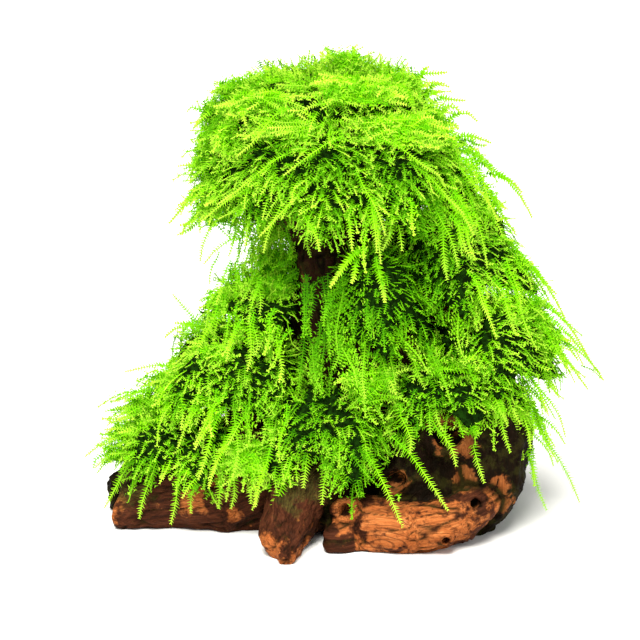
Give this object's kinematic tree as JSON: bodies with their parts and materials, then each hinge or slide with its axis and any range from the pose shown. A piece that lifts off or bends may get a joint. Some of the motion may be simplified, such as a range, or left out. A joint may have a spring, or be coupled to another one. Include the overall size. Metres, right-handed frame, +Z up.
{
  "type": "christmas moss on driftwood",
  "caption": "Stump of reddish driftwood with splayed roots and a knotted burl, flat underneath, overgrown by bright green aquarium moss in drooping feathery tiers.",
  "frame": {"origin": "on the flat cut under the stump, below the trunk, on the surface that the wood stands on", "axes": "+Z up; +X to the right of the front view, towards the burl; the front faces -Y"},
  "size_m": [0.2564, 0.154, 0.242],
  "materials": {
    "driftwood": "worn reddish brown driftwood, orange where the grain is bare, satin",
    "dark_driftwood": "weathered dark grey brown driftwood, matt",
    "moss": "fine feathery bright green leaves, yellow green at the tips, thin and translucent"
  },
  "bodies": {
    "root": {"driftwood_trunk": "driftwood", "driftwood_burl": "driftwood", "driftwood_burl_root": "driftwood", "driftwood_left_root": "driftwood", "driftwood_front_root": "driftwood", "driftwood_left_fork": "driftwood", "driftwood_right_fork": "driftwood", "driftwood_side_branch": "driftwood", "driftwood_back_root": "driftwood", "driftwood_rear_left_root": "dark_driftwood", "driftwood_rear_right_root": "dark_driftwood", "moss_crown_top": "moss", "moss_crown": "moss", "moss_right_shoulder": "moss", "moss_front_cascade": "moss", "moss_right_skirt": "moss", "moss_left_shelf": "moss", "moss_left_slope": "moss", "moss_burl_cap": "moss", "moss_front_fringe": "moss", "moss_left_skirt": "moss", "moss_back_upper": "moss", "moss_back_left": "moss", "moss_back_right": "moss"}
  },
  "joints": []
}
